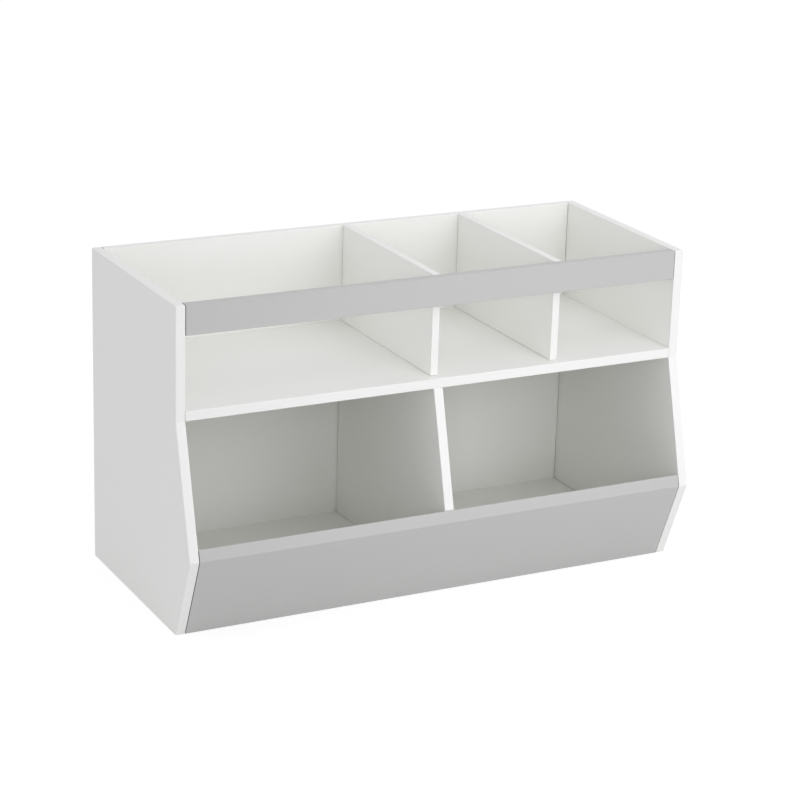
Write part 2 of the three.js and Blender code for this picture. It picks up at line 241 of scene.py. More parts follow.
class GeometryTree(NodeWriter):
    """A Geometry Nodes tree with named sizes, which sets copies of one form on a host's points."""

    VERTICES = 48
    MERGE = 0.02 * MILLIMETRE
    SECOND_BLOCK = 0.98

    def __init__(self, name: str, sizes: Mapping[str, float], material: bpy.types.Material) -> None:
        """Makes the tree's inputs.

        Args:
            name: the tree's name.
            sizes: name of each size input to its value, in metres.
            material: what the copies are made of.
        """
        super().__init__(bpy.data.node_groups.new(name, "GeometryNodeTree"))
        face = self.tree.interface
        face.new_socket("Geometry", in_out="INPUT", socket_type="NodeSocketGeometry")
        face.new_socket("Geometry", in_out="OUTPUT", socket_type="NodeSocketGeometry")
        self.settings: dict[str, object] = {}
        for label, size in sizes.items():
            socket = face.new_socket(label, in_out="INPUT", socket_type="NodeSocketFloat")
            self.settings[socket.identifier] = size
        socket = face.new_socket("Material", in_out="INPUT", socket_type="NodeSocketMaterial")
        self.settings[socket.identifier] = material
        self.entry = self.tree.nodes.new("NodeGroupInput")

    def given_as(self, label: str) -> Value:
        """One of the tree's inputs."""
        return Value(self, self.entry.outputs[label])

    def triple(self, x: Value | float, y: Value | float, z: Value | float) -> Value:
        """A vector from three values."""
        return self.node("ShaderNodeCombineXYZ", None, {0: x, 1: y, 2: z})

    def cone(
        self,
        bottom: Value | float,
        top: Value | float,
        height: Value | float,
        low: Value | float,
    ) -> Value:
        """A round form about the Z axis.

        Args:
            bottom: radius at its lower end.
            top: radius at its upper end.
            height: its height.
            low: height of its lower end.

        Returns:
            The geometry.
        """
        inputs = {"Vertices": self.VERTICES, "Radius Bottom": bottom, "Radius Top": top, "Depth": height}
        made = self.node("GeometryNodeMeshCone", {"fill_type": "NGON"}, inputs, "Mesh")
        return self.moved(made, self.triple(0.0, 0.0, low))

    def moved(self, geometry: Value, by: Value, turn: Triple = (0.0, 0.0, 0.0)) -> Value:
        """A geometry turned by angles about X, Y and Z, then moved."""
        inputs = {"Geometry": geometry, "Translation": by, "Rotation": turn}
        return self.node("GeometryNodeTransform", None, inputs)

    def cross_slot(self) -> list[Value]:
        """Two crossing blocks that sink the cross drive below the plane of zero height.

        The second is a little shallower, so that their lower faces don't lie in one plane.

        Returns:
            The blocks.
        """
        length, width = self.given_as("Drive length"), self.given_as("Drive width")
        height = self.given_as("Drive depth") * 2
        sizes = self.triple(length, width, height), self.triple(width, length, height * self.SECOND_BLOCK)
        return [self.node("GeometryNodeMeshCube", None, {"Size": size}, "Mesh") for size in sizes]

    def joined(self, how: Join, parts: list[Value]) -> Value:
        """The union or the intersection of several bodies."""
        return self._boolean(how, {"Mesh 2": parts})

    def cut(self, body: Value, cutters: list[Value]) -> Value:
        """A body less its cutters."""
        return self._boolean(Join.DIFFERENCE, {"Mesh 1": body, "Mesh 2": cutters})

    def _boolean(self, how: Join, meshes: Mapping[str, object]) -> Value:
        """Adds one exact boolean node."""
        settings = {"operation": how.value, "solver": "EXACT"}
        return self.node("GeometryNodeMeshBoolean", settings, {**meshes, "Self Intersection": True})

    def vector_of_point(self, name: str) -> Value:
        """A vector that each point of the host carries."""
        return self.node("GeometryNodeInputNamedAttribute", {"data_type": "FLOAT_VECTOR"}, {"Name": name})

    def set_on_points(self, form: Value) -> None:
        """Ends the tree: copies of a form on the host's points, turned by the vectors that they carry.

        Args:
            form: the geometry that is copied.
        """
        settings = {"primary_axis": "Z", "secondary_axis": "X"}
        axes = {0: self.vector_of_point("axis"), 1: self.vector_of_point("toward")}
        turn = self.node("FunctionNodeAxesToRotation", settings, axes)
        clean = self.node("GeometryNodeMergeByDistance", None, {"Geometry": form, "Distance": self.MERGE})
        inputs = {"Points": self.given_as("Geometry"), "Instance": clean, "Rotation": turn}
        copies = self.node("GeometryNodeInstanceOnPoints", None, inputs)
        real = self.node("GeometryNodeRealizeInstances", None, {"Geometry": copies})
        inputs = {"Geometry": real, "Material": self.given_as("Material")}
        dressed = self.node("GeometryNodeSetMaterial", None, inputs)
        self.node("NodeGroupOutput", None, {0: dressed})

    def run(self, name: str, seats: Sequence["Seat"]) -> bpy.types.Object:
        """Builds one plain mesh from the tree.

        Args:
            name: the piece's name.
            seats: where the copies stand.

        Returns:
            The piece.
        """
        host = bpy.data.meshes.new(name)
        host.from_pydata([seat.place for seat in seats], [], [])
        for label in ("axis", "toward"):
            rows = host.attributes.new(label, "FLOAT_VECTOR", "POINT")
            for row, seat in zip(rows.data, seats):
                row.vector = getattr(seat, label)
        made = link(name, host)
        modifier = made.modifiers.new("form", "NODES")
        modifier.node_group = self.tree
        for identifier, setting in self.settings.items():
            modifier[identifier] = setting
        applied(made)
        made.data.shade_smooth()
        made.data.set_sharp_from_angle(angle=SHARP_ANGLE)
        return made


# Finishes


def times(colour: Colour, factor: float) -> Colour:
    """The colour times a number, kept at most 1."""
    return tuple(min(1.0, part * factor) for part in colour)


def fresh_material(name: str) -> tuple[bpy.types.Material, Shader]:
    """Starts a material.

    Args:
        name: its name.

    Returns:
        The material and the writer of its nodes.
    """
    made = bpy.data.materials.new(name)
    made.use_nodes = True
    return made, Shader(made.node_tree)


@dataclass(frozen=True)
class PaintFinish:
    """Satin sprayed paint on fibreboard: faint mottling, a fine stipple and a soft long wave.

    Faces that carry the bare attribute, in bores and in the joints, are left as fibreboard. Its colour is
    darker than raw board, as painted shade that deepens the joint gaps.
    """

    name: str
    slot: str
    colour: Colour
    roughness: float
    mottle: float = 0.012
    specular: float = 0.4
    cloud: Grain = Grain(220 * MILLIMETRE, 3.0)
    cloud_share: float = 0.7
    cloud_gloss: float = 0.04
    speck: Grain = Grain(4 * MILLIMETRE)
    speck_gloss: float = 0.06
    stipple: Grain = Grain(1.3 * MILLIMETRE, 1.5, 0.6)
    stipple_depth: float = 0.02 * MILLIMETRE
    wave: Grain = Grain(55 * MILLIMETRE, 1.0)
    wave_depth: float = 0.12 * MILLIMETRE
    # Bare fibreboard, darker than raw board: partly its own colour, partly painted shade that deepens the
    # joint gaps
    fibre_and_painted_shade: Colour = (0.13, 0.105, 0.08)
    dark_fibre_and_painted_shade: Colour = (0.08, 0.065, 0.05)

    def material(self) -> bpy.types.Material:
        """Builds the paint's material.

        Returns:
            The material.
        """
        made, shader = fresh_material(self.name)
        at = shader.object_place()
        grains = (self.cloud, self.speck, self.stipple, self.wave)
        cloud, speck, stipple, wave = (shader.noise(at, grain) for grain in grains)
        tone = cloud * self.cloud_share + speck * (1 - self.cloud_share)
        paint = shader.blend(tone, times(self.colour, 1 - self.mottle), times(self.colour, 1 + self.mottle))
        # Bare faces get the dark fibre colour, which is partly unpainted board and partly painted shade in
        # the joints
        fibre_and_painted_shade = shader.blend(stipple, self.dark_fibre_and_painted_shade, self.fibre_and_painted_shade)
        bare = shader.node("ShaderNodeAttribute", {"attribute_name": BARE}, None, "Fac")
        shader.surface({
            "Base Color": shader.blend(bare, paint, fibre_and_painted_shade),
            "Roughness": self.roughness + speck.swing(self.speck_gloss) + cloud.swing(self.cloud_gloss),
            "Specular IOR Level": self.specular,
            "Normal": shader.bump(stipple * self.stipple_depth + wave * self.wave_depth),
        })
        return made


@dataclass(frozen=True)
class MetalFinish:
    """Bare or plated metal with a cast or drawn skin."""

    name: str
    slot: str
    colour: Colour
    roughness: float
    skin: Grain
    skin_depth: float
    skin_gloss: float = 0.06
    bloom: Grain = Grain(6 * MILLIMETRE)
    bloom_gloss: float = 0.14
    dull: float = 0.86
    bright: float = 1.08

    def material(self) -> bpy.types.Material:
        """Builds the metal's material.

        Returns:
            The material.
        """
        made, shader = fresh_material(self.name)
        at = shader.object_place()
        skin, bloom = shader.noise(at, self.skin), shader.noise(at, self.bloom)
        dull, bright = times(self.colour, self.dull), times(self.colour, self.bright)
        shader.surface({
            "Base Color": shader.blend(bloom, dull, bright),
            "Metallic": 1.0,
            "Roughness": self.roughness + bloom.swing(self.bloom_gloss) + skin.swing(self.skin_gloss),
            "Normal": shader.bump(skin * self.skin_depth),
        })
        return made


@dataclass(frozen=True)
class BeechFinish:
    """Bare turned beech with short flecks along the width of the unit."""

    name: str
    slot: str
    pale: Colour
    dark: Colour
    roughness: float = 0.68
    grain: Grain = Grain(1.2 * MILLIMETRE, 4.0, 0.6)
    grain_share: float = 0.8
    grain_gloss: float = 0.12
    grain_depth: float = 0.08 * MILLIMETRE
    fleck: Grain = Grain(0.6 * MILLIMETRE)
    stretch: Triple = (0.12, 1.0, 1.0)

    def material(self) -> bpy.types.Material:
        """Builds the wood's material.

        Returns:
            The material.
        """
        made, shader = fresh_material(self.name)
        at = shader.object_place()
        along = shader.node("ShaderNodeMapping", None, {"Vector": at, "Scale": self.stretch})
        grain, fleck = shader.noise(along, self.grain), shader.noise(at, self.fleck)
        tone = grain * self.grain_share + fleck * (1 - self.grain_share)
        shader.surface({
            "Base Color": shader.blend(tone, self.dark, self.pale),
            "Roughness": self.roughness + grain.swing(self.grain_gloss),
            "Normal": shader.bump(grain * self.grain_depth),
        })
        return made


class Finish(Enum):
    """The finishes of the unit, each with a slot name."""

    WHITE = PaintFinish("white satin paint", "white_paint", (0.920, 0.921, 0.878), 0.46)
    GREY = PaintFinish("grey satin paint", "grey_paint", (0.552, 0.552, 0.528), 0.5)
    ZINC = MetalFinish(
        name="die-cast zinc",
        slot="cam_zinc",
        colour=(0.60, 0.61, 0.63),
        roughness=0.42,
        skin=Grain(0.5 * MILLIMETRE, 4.0, 0.6),
        skin_depth=0.02 * MILLIMETRE,
    )
    STEEL = MetalFinish(
        name="plated steel",
        slot="plated_steel",
        colour=(0.72, 0.70, 0.64),
        roughness=0.32,
        skin=Grain(0.3 * MILLIMETRE, 4.0, 0.6),
        skin_depth=0.01 * MILLIMETRE,
    )
    BEECH = BeechFinish("bare beech", "beech", (0.72, 0.53, 0.32), (0.52, 0.33, 0.16))


class Palette:
    """Makes each finish once, and hands it out."""

    def __init__(self) -> None:
        """Starts with no material made."""
        self._made: dict[Finish, bpy.types.Material] = {}

    def __getitem__(self, finish: Finish) -> bpy.types.Material:
        """The material of a finish.

        Args:
            finish: the finish.

        Returns:
            Its material, made at the first call.
        """
        if finish not in self._made:
            self._made[finish] = finish.value.material()
        return self._made[finish]


# Mesh helpers


def link(name: str, mesh: bpy.types.Mesh) -> bpy.types.Object:
    """Puts a mesh into the scene as an object at the origin.

    Args:
        name: the object's name.
        mesh: its mesh.

    Returns:
        The object.
    """
    made = bpy.data.objects.new(name, mesh)
    bpy.context.scene.collection.objects.link(made)
    return made


def applied(made: bpy.types.Object) -> None:
    """Turns an object's modifiers into its plain mesh.

    Args:
        made: the object, which keeps no modifier.
    """
    graph = bpy.context.evaluated_depsgraph_get()
    mesh = bpy.data.meshes.new_from_object(made.evaluated_get(graph))
    made.modifiers.clear()
    old = made.data
    made.data = mesh
    bpy.data.meshes.remove(old)
    mesh.name = made.name


def declare(made: bpy.types.Object, nodes: Iterable[str]) -> None:
    """Ties a finished piece to the frame.

    Args:
        made: the piece.
        nodes: the nodes that it stands for.
    """
    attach(made, BODY)
    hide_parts(*nodes)
    LOG.info("%s: %d faces", made.name, len(made.data.polygons))


@dataclass(frozen=True)
class Box:
    """The lowest and highest corner of a node."""

    low: Vector
    high: Vector

    @classmethod
    def of(cls, node: str) -> "Box":
        """The box of a node of the frame."""
        return cls(*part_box(node))

    @property
    def middle(self) -> Vector:
        """The middle of the box."""
        return (self.low + self.high) / 2

    @property
    def size(self) -> Vector:
        """The three sides of the box."""
        return self.high - self.low

    def meets(self, other: "Box") -> bool:
        """Says whether two boxes share room."""
        return all(self.low[i] < other.high[i] and other.low[i] < self.high[i] for i in range(3))


@dataclass(frozen=True)
class Corner:
    """A corner of a board's outline, across depth and height, and its rounding."""

    y: float
    z: float
    radius: float = 0.0

    @property
    def tip(self) -> Vector:
        """The corner before it is rounded."""
        return Vector((self.y, self.z))


def at(point: Vector, radius: float = 0.0) -> Corner:
    """A corner at a point of the plane of depth and height."""
    return Corner(point.x, point.y, radius)


def rounded(corners: Sequence[Corner], steps: int = 8) -> list[Vector]:
    """Points of a closed outline, with each rounded corner as an arc.

    Args:
        corners: the corners in order.
        steps: stretches in each arc.

    Returns:
        The points, in the plane of depth and height.
    """
    points: list[Vector] = []
    for i, corner in enumerate(corners):
        if corner.radius == 0:
            points.append(corner.tip)
            continue
        before = (corners[i - 1].tip - corner.tip).normalized()
        after = (corners[(i + 1) % len(corners)].tip - corner.tip).normalized()
        half = before.angle(after) / 2
        middle = corner.tip + (before + after).normalized() * (corner.radius / math.sin(half))
        start = corner.tip + before * (corner.radius / math.tan(half)) - middle
        end = corner.tip + after * (corner.radius / math.tan(half)) - middle
        turn = math.atan2(start.cross(end), start.dot(end))
        points += [middle + Matrix.Rotation(turn * step / steps, 2) @ start for step in range(steps + 1)]
    return points


# Bores and boards


@dataclass(frozen=True)
class Bore:
    """A round hole, straight or tapered, that a fitting needs in the boards that it meets."""

    fitting: Box
    start: Vector
    end: Vector
    radius: float
    end_radius: float
    sides: int = 40

    def add_to(self, cutters: bmesh.types.BMesh) -> None:
        """Adds the bore's own form to a mesh of cutters.

        Args:
            cutters: the mesh.
        """
        run = self.end - self.start
        turn = run.to_track_quat("Z", "Y").to_matrix().to_4x4()
        bmesh.ops.create_cone(
            cutters,
            cap_ends=True,
            segments=self.sides,
            radius1=self.radius,
            radius2=self.end_radius,
            depth=run.length,
            matrix=Matrix.Translation((self.start + self.end) / 2) @ turn,
        )


@dataclass
class Board:
    """One painted board: an outline across depth and height, drawn out along the width."""

    node: str
    corners: list[Corner]
    finish: Finish
    long_edge: float
    end_edge: float
    inner_edge: float | None = None
    end_gap: float = 0.0
    bare: tuple[Vector, ...] = ()
    bevel_steps: int = 4
    flat_turn: float = math.radians(20)

    def blank(self) -> bpy.types.Mesh:
        """The board with sharp edges, each carrying how far it is to be eased.

        Returns:
            The mesh.
        """
        box = Box.of(self.node)
        outline = rounded(self.corners)
        body = bmesh.new()
        easing = body.edges.layers.float.new("bevel_weight_edge")
        ends = box.low.x + self.end_gap, box.high.x - self.end_gap
        rims = [[body.verts.new((x, *point)) for point in outline] for x in ends]
        for i in range(len(outline)):
            body.faces.new((rims[0][i - 1], rims[0][i], rims[1][i], rims[1][i - 1]))
        for rim in rims:
            body.faces.new(rim)
        bmesh.ops.recalc_face_normals(body, faces=body.faces)
        # Faces that point along the bare directions show dark fibre: partly unpainted board, partly painted
        # shade in the joint gaps
        for face in body.faces:
            is_bare = any(face.normal.dot(way) > SAME_WAY for way in self.bare)
            face.material_index = BARE_SLOT if is_bare else PAINT_SLOT
        widest = max(self.long_edge, self.end_edge)
        for edge in body.edges:
            first, second = edge.verts
            runs_along = abs(first.co.x - second.co.x) > box.size.x / 2
            if edge.calc_face_angle() > self.flat_turn:
                edge[easing] = (self.long_edge if runs_along else self._rim_edge(first.co.x)) / widest
        mesh = bpy.data.meshes.new(self.node)
        body.to_mesh(mesh)
        body.free()
        return mesh

    def _rim_edge(self, x: float) -> float:
        """How far the edges round one end are eased: the end toward the middle of the unit may differ."""
        inner = abs(x) < abs(Box.of(self.node).middle.x)
        return self.inner_edge if inner and self.inner_edge is not None else self.end_edge

    def build(self, bores: Iterable[Bore], palette: Palette) -> bpy.types.Object:
        """Makes the board: edges eased, bores cut, faces shaded flat beside round edges.

        A second material slot marks the bare faces until an attribute holds the marks.

        Args:
            bores: the bores of all fittings, of which the board takes those that it meets.
            palette: the materials.

        Returns:
            The piece.
        """
        made = link(f"painted_{self.node}", self.blank())
        for _ in (PAINT_SLOT, BARE_SLOT):
            made.data.materials.append(palette[self.finish])
        ease = made.modifiers.new("ease", "BEVEL")
        ease.limit_method = "WEIGHT"
        ease.width = max(self.long_edge, self.end_edge)
        ease.segments = self.bevel_steps
        applied(made)
        self._cut(made, bores)
        marks = made.data.attributes.new(BARE, "FLOAT", "FACE")
        faces = made.data.polygons
        marks.data.foreach_set("value", [float(face.material_index == BARE_SLOT) for face in faces])
        faces.foreach_set("material_index", [PAINT_SLOT] * len(faces))
        made.data.materials.pop()
        made.data.shade_smooth()
        made.data.set_sharp_from_angle(angle=SHARP_ANGLE)
        even = made.modifiers.new("even", "WEIGHTED_NORMAL")
        even.keep_sharp = True
        applied(made)
        declare(made, [self.node])
        return made

    def _cut(self, made: bpy.types.Object, bores: Iterable[Bore]) -> None:
        """Cuts the bores that meet this board out of it.

        Args:
            made: the board's object.
            bores: the bores of all fittings.
        """
        box = Box.of(self.node)
        cutters = bmesh.new()
        for bore in bores:
            if bore.fitting.meets(box):
                bore.add_to(cutters)
        mesh = bpy.data.meshes.new("cutters")
        for face in cutters.faces:
            face.material_index = BARE_SLOT
        cutters.to_mesh(mesh)
        cutters.free()
        for material in made.data.materials:
            mesh.materials.append(material)
        tool = link("cutters", mesh)
        cut = made.modifiers.new("bores", "BOOLEAN")
        cut.operation = "DIFFERENCE"
        cut.solver = "EXACT"
        cut.use_self = True
        cut.material_mode = "INDEX"
        cut.object = tool
        applied(made)
        bpy.data.objects.remove(tool)
        bpy.data.meshes.remove(mesh)


@dataclass
class FrontSlants:
    """The lines of the leaning front, seen from the side, as (depth, height) points."""

    nose_height: float = 132 * MILLIMETRE
    panel: float = 12 * MILLIMETRE
    gap: float = 0.3 * MILLIMETRE
    foot: Vector = field(init=False)
    nose: Vector = field(init=False)
    kink: Vector = field(init=False)

    def __post_init__(self) -> None:
        """Takes the ends of the slants from the frame, where the nose lies as far from zero as the back."""
        shelf = Box.of("shelf_board")
        self.foot = Vector((shelf.low.y, 0.0))
        self.nose = Vector((-Box.of("back_panel").high.y, self.nose_height))
        self.kink = Vector((shelf.low.y, shelf.low.z))

    @property
    def inward(self) -> Vector:
        """Direction from the front panel's face into the unit."""
        run = (self.nose - self.foot).normalized()
        return Vector((run.y, -run.x))

    @property
    def reach(self) -> float:
        """How far behind the panel's face the boards that meet the panel stop."""
        return self.panel + self.gap

    def behind(self, distance: float, height: float) -> Vector:
        """Finds a point on a line that runs beside the front panel's face.

        Args:
            distance: how far behind the face the line lies.
            height: the point's height.

        Returns:
            The point.
        """
        start = self.foot + self.inward * distance
        run = self.nose - self.foot
        return start + run * ((height - start.y) / run.y)

    def top_edge(self, distance: float) -> Vector:
        """Finds where a line that runs beside the front panel's face meets the upper slant.

        Args:
            distance: how far behind the face the line lies.

        Returns:
            The point.
        """
        start = self.foot + self.inward * distance
        run, upper = self.nose - self.foot, self.kink - self.nose
        return start + run * ((self.nose - start).cross(upper) / run.cross(upper))


def box_corners(node: str, rear_gap: float = 0.0, low_gap: float = 0.0) -> list[Corner]:
    """The outline of a board that is a rectangle across depth and height.

    Args:
        node: the board's node.
        rear_gap: how far it stops short of the node's rear.
        low_gap: how far it stops short of the node's lower face.

    Returns:
        The corners.
    """
    box = Box.of(node)
    front, rear = box.low.y, box.high.y - rear_gap
    low, high = box.low.z + low_gap, box.high.z
    return [Corner(front, low), Corner(rear, low), Corner(rear, high), Corner(front, high)]


# Sub-assemblies


@dataclass
class Assembly(ABC):
    """Boards that are made together."""

    slants: FrontSlants

    @abstractmethod
    def boards(self) -> list[Board]:
        """The boards of the assembly."""

    def build(self, bores: Sequence[Bore], palette: Palette) -> None:
        """Makes and paints the boards.

        Args:
            bores: the bores of all fittings.
            palette: the materials.
        """
        for board in self.boards():
            board.build(bores, palette)


@dataclass
class Carcass(Assembly):
    """The two profiled sides, the back, the shelf and the floor of the bins."""

    side_edge: float = 1.5 * MILLIMETRE
    front_edge: float = 1.0 * MILLIMETRE
    inner_edge: float = 0.6 * MILLIMETRE
    joint_edge: float = 0.3 * MILLIMETRE
    back_gap: float = 0.55 * MILLIMETRE
    shelf_gap: float = 0.2 * MILLIMETRE
    floor_gap: float = 0.9 * MILLIMETRE
    nose_round: float = 3 * MILLIMETRE
    kink_round: float = 6 * MILLIMETRE
    top_round: float = 2 * MILLIMETRE

    def side_corners(self) -> list[Corner]:
        """Outline of a side: upright above the shelf, out to the nose, back to the floor.

        Returns:
            The corners.
        """
        slants, box = self.slants, Box.of("side_left")
        return [
            Corner(box.high.y, box.low.z),
            at(slants.foot),
            at(slants.nose, self.nose_round),
            at(slants.kink, self.kink_round),
            Corner(slants.kink.x, box.high.z, self.top_round),
            Corner(box.high.y, box.high.z),
        ]

    def floor_corners(self) -> list[Corner]:
        """Outline of the bins' floor, with its front edge cut to the slant.

        Returns:
            The corners.
        """
        slants, box = self.slants, Box.of("floor_board")
        return [
            Corner(box.high.y, box.low.z),
            at(slants.behind(slants.reach, box.low.z)),
            at(slants.behind(slants.reach, box.high.z)),
            Corner(box.high.y, box.high.z),
        ]

    def boards(self) -> list[Board]:
        """The boards of the carcass.

        Returns:
            The two sides, then the boards between them.
        """
        sides = [
            Board(node, self.side_corners(), Finish.WHITE, self.side_edge, self.side_edge, self.inner_edge)
            for node in ("side_left", "side_right")
        ]
        between = (
            ("back_panel", box_corners("back_panel"), self.front_edge, self.back_gap),
            ("shelf_board", box_corners("shelf_board"), self.front_edge, self.shelf_gap),
            ("floor_board", self.floor_corners(), self.joint_edge, self.floor_gap),
        )
        # Their ends, against the sides, show dark fibre that is partly painted shade along the joint lines
        return sides + [
            Board(node, corners, Finish.WHITE, edge, self.joint_edge, end_gap=gap, bare=ENDS)
            for node, corners, edge, gap in between
        ]


@dataclass
class Dividers(Assembly):
    """The divider between the bins and the two between the trays."""

    edge: float = 0.8 * MILLIMETRE
    bin_foot_gap: float = 0.2 * MILLIMETRE
    bin_rear_gap: float = 1.2 * MILLIMETRE
    tray_foot_gap: float = 0.15 * MILLIMETRE
    tray_rear_gap: float = 0.4 * MILLIMETRE
    # Rear and lower faces show dark fibre, partly painted shade for the gap lines behind and under the
    # dividers
    bare: tuple[Vector, ...] = (REARWARD, -UP)

    def bin_corners(self) -> list[Corner]:
        """Outline of the bin divider, cut to the front panel and then to the upper slant.

        Returns:
            The corners.
        """
        slants, box = self.slants, Box.of("bin_divider")
        low, rear = box.low.z + self.bin_foot_gap, box.high.y - self.bin_rear_gap
        return [
            Corner(rear, low),
            at(slants.behind(slants.reach, low)),
            at(slants.top_edge(slants.reach)),
            at(slants.kink),
            Corner(rear, box.high.z),
        ]

    def boards(self) -> list[Board]:
        """The dividers.

        Returns:
            The bin divider, then those of the trays.
        """
        outlines = {"bin_divider": self.bin_corners()}
        for node in ("tray_divider_centre", "tray_divider_right"):
            outlines[node] = box_corners(node, self.tray_rear_gap, self.tray_foot_gap)
        return [
            Board(node, corners, Finish.WHITE, self.edge, self.edge, bare=self.bare)
            for node, corners in outlines.items()
        ]


@dataclass
class GreyFronts(Assembly):
    """The retaining rail across the trays and the leaning panel across the bins."""

    edge: float = 0.8 * MILLIMETRE
    end_edge: float = 0.4 * MILLIMETRE
    nose_round: float = 3 * MILLIMETRE
    lip_round: float = 0.5 * MILLIMETRE

    def panel_corners(self) -> list[Corner]:
        """Outline of the leaning panel, its top edge cut in the plane of the upper slant.

        Returns:
            The corners.
        """
        slants = self.slants
        return [
            at(slants.behind(slants.panel, 0.0)),
            at(slants.foot),
            at(slants.nose, self.nose_round),
            at(slants.top_edge(slants.panel), self.lip_round),
        ]

    def boards(self) -> list[Board]:
        """The grey boards.

        Returns:
            The rail, then the panel.
        """
        # The ends of both grey boards show dark fibre, partly painted shade in the gaps at the sides
        outlines = {"top_rail": box_corners("top_rail"), "front_panel": self.panel_corners()}
        return [
            Board(node, corners, Finish.GREY, self.edge, self.end_edge, bare=ENDS)
            for node, corners in outlines.items()
        ]


# Fittings


@dataclass(frozen=True)
class Seat:
    """Where a fitting stands: the middle of its face, its axis and the way that it is turned."""

    place: Vector
    axis: Vector
    toward: Vector


@dataclass(frozen=True)
class CamSize:
    """Sizes of a cam and of the bolt's head and neck that it grips."""

    radius: float
    depth: float
    axis_below_face: float
    head: float
    neck: float
    head_length: float


class Kind(Enum):
    """The kinds of fitting, as the first word of their nodes' names."""

    CAM = "cam"
    BOLT = "bolt"
    DOWEL = "dowel"
    SCREW = "screw"


@dataclass
class Fittings:
    """Cams, bolts, dowels and screws: what shows of them, and the bores that they need."""

    nodes: Mapping[str, bpy.types.Object]
    slants: FrontSlants
    palette: Palette
    fit: float = 0.3 * MILLIMETRE
    past_face: float = 2 * MILLIMETRE
    thick_cam: CamSize = CamSize(
        radius=7.5 * MILLIMETRE,
        depth=11.9 * MILLIMETRE,
        axis_below_face=7.2 * MILLIMETRE,
        head=3.2 * MILLIMETRE,
        neck=1.8 * MILLIMETRE,
        head_length=4 * MILLIMETRE,
    )
    thin_cam: CamSize = CamSize(
        radius=6 * MILLIMETRE,
        depth=9.6 * MILLIMETRE,
        axis_below_face=5.7 * MILLIMETRE,
        head=2.4 * MILLIMETRE,
        neck=1.4 * MILLIMETRE,
        head_length=3.2 * MILLIMETRE,
    )
    cam_turn: float = math.radians(100)
    cam_chamfer: float = 0.5 * MILLIMETRE
    cam_drive: CrossDrive = CrossDrive(8 * MILLIMETRE, 1.5 * MILLIMETRE, 2.5 * MILLIMETRE)
    # Forms that a cam is cut from reach past each other: shares of its depth, its radius and its pocket
    barrel_share: float = 1.2
    brim_share: float = 1.5
    cutter_share: float = 1.1
    mouth_share: float = 1.08
    screw_head: float = 3.8 * MILLIMETRE
    screw_shank: float = 2 * MILLIMETRE
    screw_head_height: float = 2.8 * MILLIMETRE
    screw_point: float = 4 * MILLIMETRE
    screw_drive: CrossDrive = CrossDrive(4 * MILLIMETRE, 0.9 * MILLIMETRE, 1.7 * MILLIMETRE)
    # Where the shank starts inside the head, as a share of the length, and the tip as a share of the shank
    stem_start: float = 0.04
    tip_share: float = 0.05

    def named(self, kind: Kind) -> list[str]:
        """The nodes of one kind of fitting."""
        return sorted(name for name in self.nodes if name.startswith(kind.value + "_"))

    def cam_face(self, name: str) -> Vector:
        """Direction that a cam's open face looks in.

        Args:
            name: the cam's node, whose second word is the board that it sits in.

        Returns:
            The direction.
        """
        board = name.split("_")[1]
        if board == "front":
            return Vector((0, self.slants.inward.x, self.slants.inward.y))
        return -UP if board in ("floor", "shelf") else REARWARD

    def cam_size(self, name: str) -> CamSize:
        """Sizes of a cam: the thin boards have small ones."""
        return self.thin_cam if name.split("_")[1] in ("front", "back") else self.thick_cam

    def cam_seat(self, name: str) -> Seat:
        """Where a cam stands, turned toward the side that its bolt is in.

        Args:
            name: the cam's node.

        Returns:
            The seat.
        """
        box, face = Box.of(name), self.cam_face(name)
        outward = math.copysign(1.0, box.middle.x) * RIGHTWARD
        return Seat(box.middle + face * (self.cam_size(name).depth / 2), face, outward)

    def screw_seat(self, name: str) -> Seat:
        """Where a screw's head stands, with its axis into the unit.

        Args:
            name: the screw's node.

        Returns:
            The seat.
        """
        box = Box.of(name)
        axis = UP if box.size.z > box.size.y else -REARWARD
        return Seat(box.middle - axis * (abs(box.size.dot(axis)) / 2), axis, RIGHTWARD)

    def cam_bore(self, name: str) -> Bore:
        """The bore of a cam, closed behind it and open past the board's face.

        Args:
            name: the cam's node.

        Returns:
            The bore.
        """
        seat, size = self.cam_seat(name), self.cam_size(name)
        radius = size.radius + self.fit
        bottom = seat.place - seat.axis * (size.depth + self.fit)
        return Bore(Box.of(name), bottom, seat.place + seat.axis * self.past_face, radius, radius)

    def rod_bore(self, name: str) -> Bore:
        """The bore of a bolt or a dowel, along the longest side of its box.

        Args:
            name: the fitting's node.

        Returns:
            The bore.
        """
        box = Box.of(name)
        length = max(box.size)
        axis = Vector([float(side == length) for side in box.size])
        radius = sorted(box.size)[1] / 2 + self.fit
        half = axis * (length / 2 + self.fit)
        return Bore(box, box.middle - half, box.middle + half, radius, radius)

    def screw_bores(self, name: str) -> list[Bore]:
        """The bores of a screw: past the board's face, for the head and for the shank.

        Args:
            name: the screw's node.

        Returns:
            The bores.
        """
        seat, box = self.screw_seat(name), Box.of(name)
        head, shank = self.screw_head + self.fit, self.screw_shank + self.fit
        outside = seat.place - seat.axis * self.past_face
        throat = seat.place + seat.axis * self.screw_head_height
        bottom = seat.place + seat.axis * (max(box.size) + self.fit)
        return [
            Bore(box, outside, seat.place, head, head),
            Bore(box, seat.place, throat, head, shank),
            Bore(box, throat, bottom, shank, shank),
        ]

    def bores(self) -> list[Bore]:
        """The bores of all fittings.

        Returns:
            Those of the cams, of the bolts and dowels and of the screws.
        """
        cams = [self.cam_bore(name) for name in self.named(Kind.CAM)]
        rods = [self.rod_bore(name) for name in self.named(Kind.BOLT) + self.named(Kind.DOWEL)]
        screws = [bore for name in self.named(Kind.SCREW) for bore in self.screw_bores(name)]
        return cams + rods + screws

